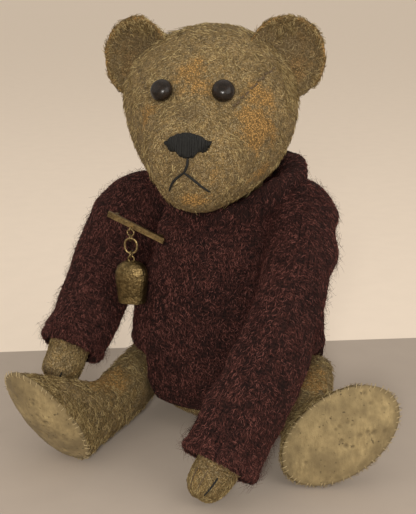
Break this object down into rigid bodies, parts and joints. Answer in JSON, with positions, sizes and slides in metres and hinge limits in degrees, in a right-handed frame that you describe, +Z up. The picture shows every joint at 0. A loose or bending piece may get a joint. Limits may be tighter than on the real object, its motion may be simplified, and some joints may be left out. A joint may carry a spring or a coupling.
{
  "type": "jointed teddy bear",
  "caption": "Seated mohair teddy bear with disc-jointed neck, shoulders and hips, wearing a knitted sweater with a brass bar brooch, chain ring and bell.",
  "frame": {"origin": "middle of the flat seat under the torso, on the surface the bear sits on", "axes": "-Y is the way the bear faces, +X is the bear's own left, +Z is up; the rest pose is the seated pose with every joint at 0"},
  "size_m": [0.1687, 0.148, 0.1922],
  "materials": {
    "mohair": "worn curly mohair pile on a woven backing",
    "felt": "worn wool felt",
    "stuffing": "wood wool and kapok",
    "fibreboard": "pressed fibreboard",
    "steel": "plain drawn steel",
    "knit": "hand-knitted burgundy mohair yarn",
    "brass": "aged brass with dark recesses",
    "stem_metal": "plated steel wire",
    "button": "glossy black boot button",
    "thread": "black pearl cotton",
    "seam_thread": "dark brown sewing thread"
  },
  "bodies": {
    "torso": {"torso_cover": "mohair", "torso_stuffing": "stuffing", "neck_disc_body": "fibreboard", "shoulder_disc_body_right": "fibreboard", "shoulder_disc_body_left": "fibreboard", "hip_disc_body_right": "fibreboard", "hip_disc_body_left": "fibreboard", "joint_washers_body": "steel", "sweater_body": "knit", "sweater_collar": "knit", "brooch_bar": "brass"},
    "pin_stem": {"brooch_pin_stem": "stem_metal"},
    "chain_top": {"chain_links_upper": "brass"},
    "ring": {"chain_ring": "brass"},
    "chain_low": {"chain_link_lower": "brass"},
    "bell": {"bell": "brass"},
    "clapper": {"bell_clapper": "brass"},
    "head": {"head_cover": "mohair", "head_stuffing": "stuffing", "ear_right": "mohair", "ear_left": "mohair", "eye_right": "button", "eye_left": "button", "nose_stitching": "thread", "mouth_stitching": "thread", "dart_stitching": "seam_thread", "neck_disc_head": "fibreboard", "neck_washer_head": "steel", "neck_pin": "steel"},
    "arm_right": {"arm_cover_right": "mohair", "arm_stuffing_right": "stuffing", "paw_pad_right": "felt", "claw_stitches_right": "thread", "shoulder_disc_arm_right": "fibreboard", "shoulder_washer_right": "steel", "shoulder_pin_right": "steel", "sweater_sleeve_right": "knit"},
    "leg_right": {"leg_cover_right": "mohair", "leg_stuffing_right": "stuffing", "foot_pad_right": "felt", "hip_disc_leg_right": "fibreboard", "hip_washer_right": "steel", "hip_pin_right": "steel"},
    "arm_left": {"arm_cover_left": "mohair", "arm_stuffing_left": "stuffing", "paw_pad_left": "felt", "claw_stitches_left": "thread", "shoulder_disc_arm_left": "fibreboard", "shoulder_washer_left": "steel", "shoulder_pin_left": "steel", "sweater_sleeve_left": "knit"},
    "leg_left": {"leg_cover_left": "mohair", "leg_stuffing_left": "stuffing", "foot_pad_left": "felt", "hip_disc_leg_left": "fibreboard", "hip_washer_left": "steel", "hip_pin_left": "steel"}
  },
  "joints": [
    {"name": "neck_turn", "type": "hinge", "parent": "torso", "child": "head", "pos_m": [0, 0.002, 0.109], "axis": [0, 0, 1], "range_deg": [-30, 30]},
    {"name": "shoulder_right", "type": "hinge", "parent": "torso", "child": "arm_right", "pos_m": [-0.0245, -0.002, 0.09], "axis": [-1, 0, 0], "range_deg": [-2, 20]},
    {"name": "shoulder_left", "type": "hinge", "parent": "torso", "child": "arm_left", "pos_m": [0.0245, -0.002, 0.09], "axis": [-1, 0, 0], "range_deg": [0, 25]},
    {"name": "hip_right", "type": "hinge", "parent": "torso", "child": "leg_right", "pos_m": [-0.032, -0.006, 0.0185], "axis": [-1, 0, 0], "range_deg": [-90, 2]},
    {"name": "hip_left", "type": "hinge", "parent": "torso", "child": "leg_left", "pos_m": [0.032, -0.006, 0.0185], "axis": [-1, 0, 0], "range_deg": [-90, 2]},
    {"name": "pin_stem_hinge", "type": "hinge", "parent": "torso", "child": "pin_stem", "pos_m": [-0.02248, -0.0371, 0.0938], "axis": [-0.3295, 0.0505, -0.9428], "range_deg": [0, 6]},
    {"name": "chain_swing", "type": "hinge", "parent": "torso", "child": "chain_top", "pos_m": [-0.03602, -0.03811, 0.09667], "axis": [-1, 0, 0], "range_deg": [0, 20]},
    {"name": "ring_swing", "type": "hinge", "parent": "chain_top", "child": "ring", "pos_m": [-0.03602, -0.03811, 0.09147], "axis": [0, 1, 0], "range_deg": [-6, 6]},
    {"name": "link_swing", "type": "hinge", "parent": "ring", "child": "chain_low", "pos_m": [-0.03602, -0.03811, 0.08562], "axis": [-1, 0, 0], "range_deg": [0, 15]},
    {"name": "bell_swing", "type": "hinge", "parent": "chain_low", "child": "bell", "pos_m": [-0.03602, -0.03811, 0.08352], "axis": [0, 1, 0], "range_deg": [-6, 6]},
    {"name": "clapper_swing", "type": "hinge", "parent": "bell", "child": "clapper", "pos_m": [-0.03602, -0.03811, 0.0796], "axis": [1, 0, 0], "range_deg": [-5, 5]}
  ]
}
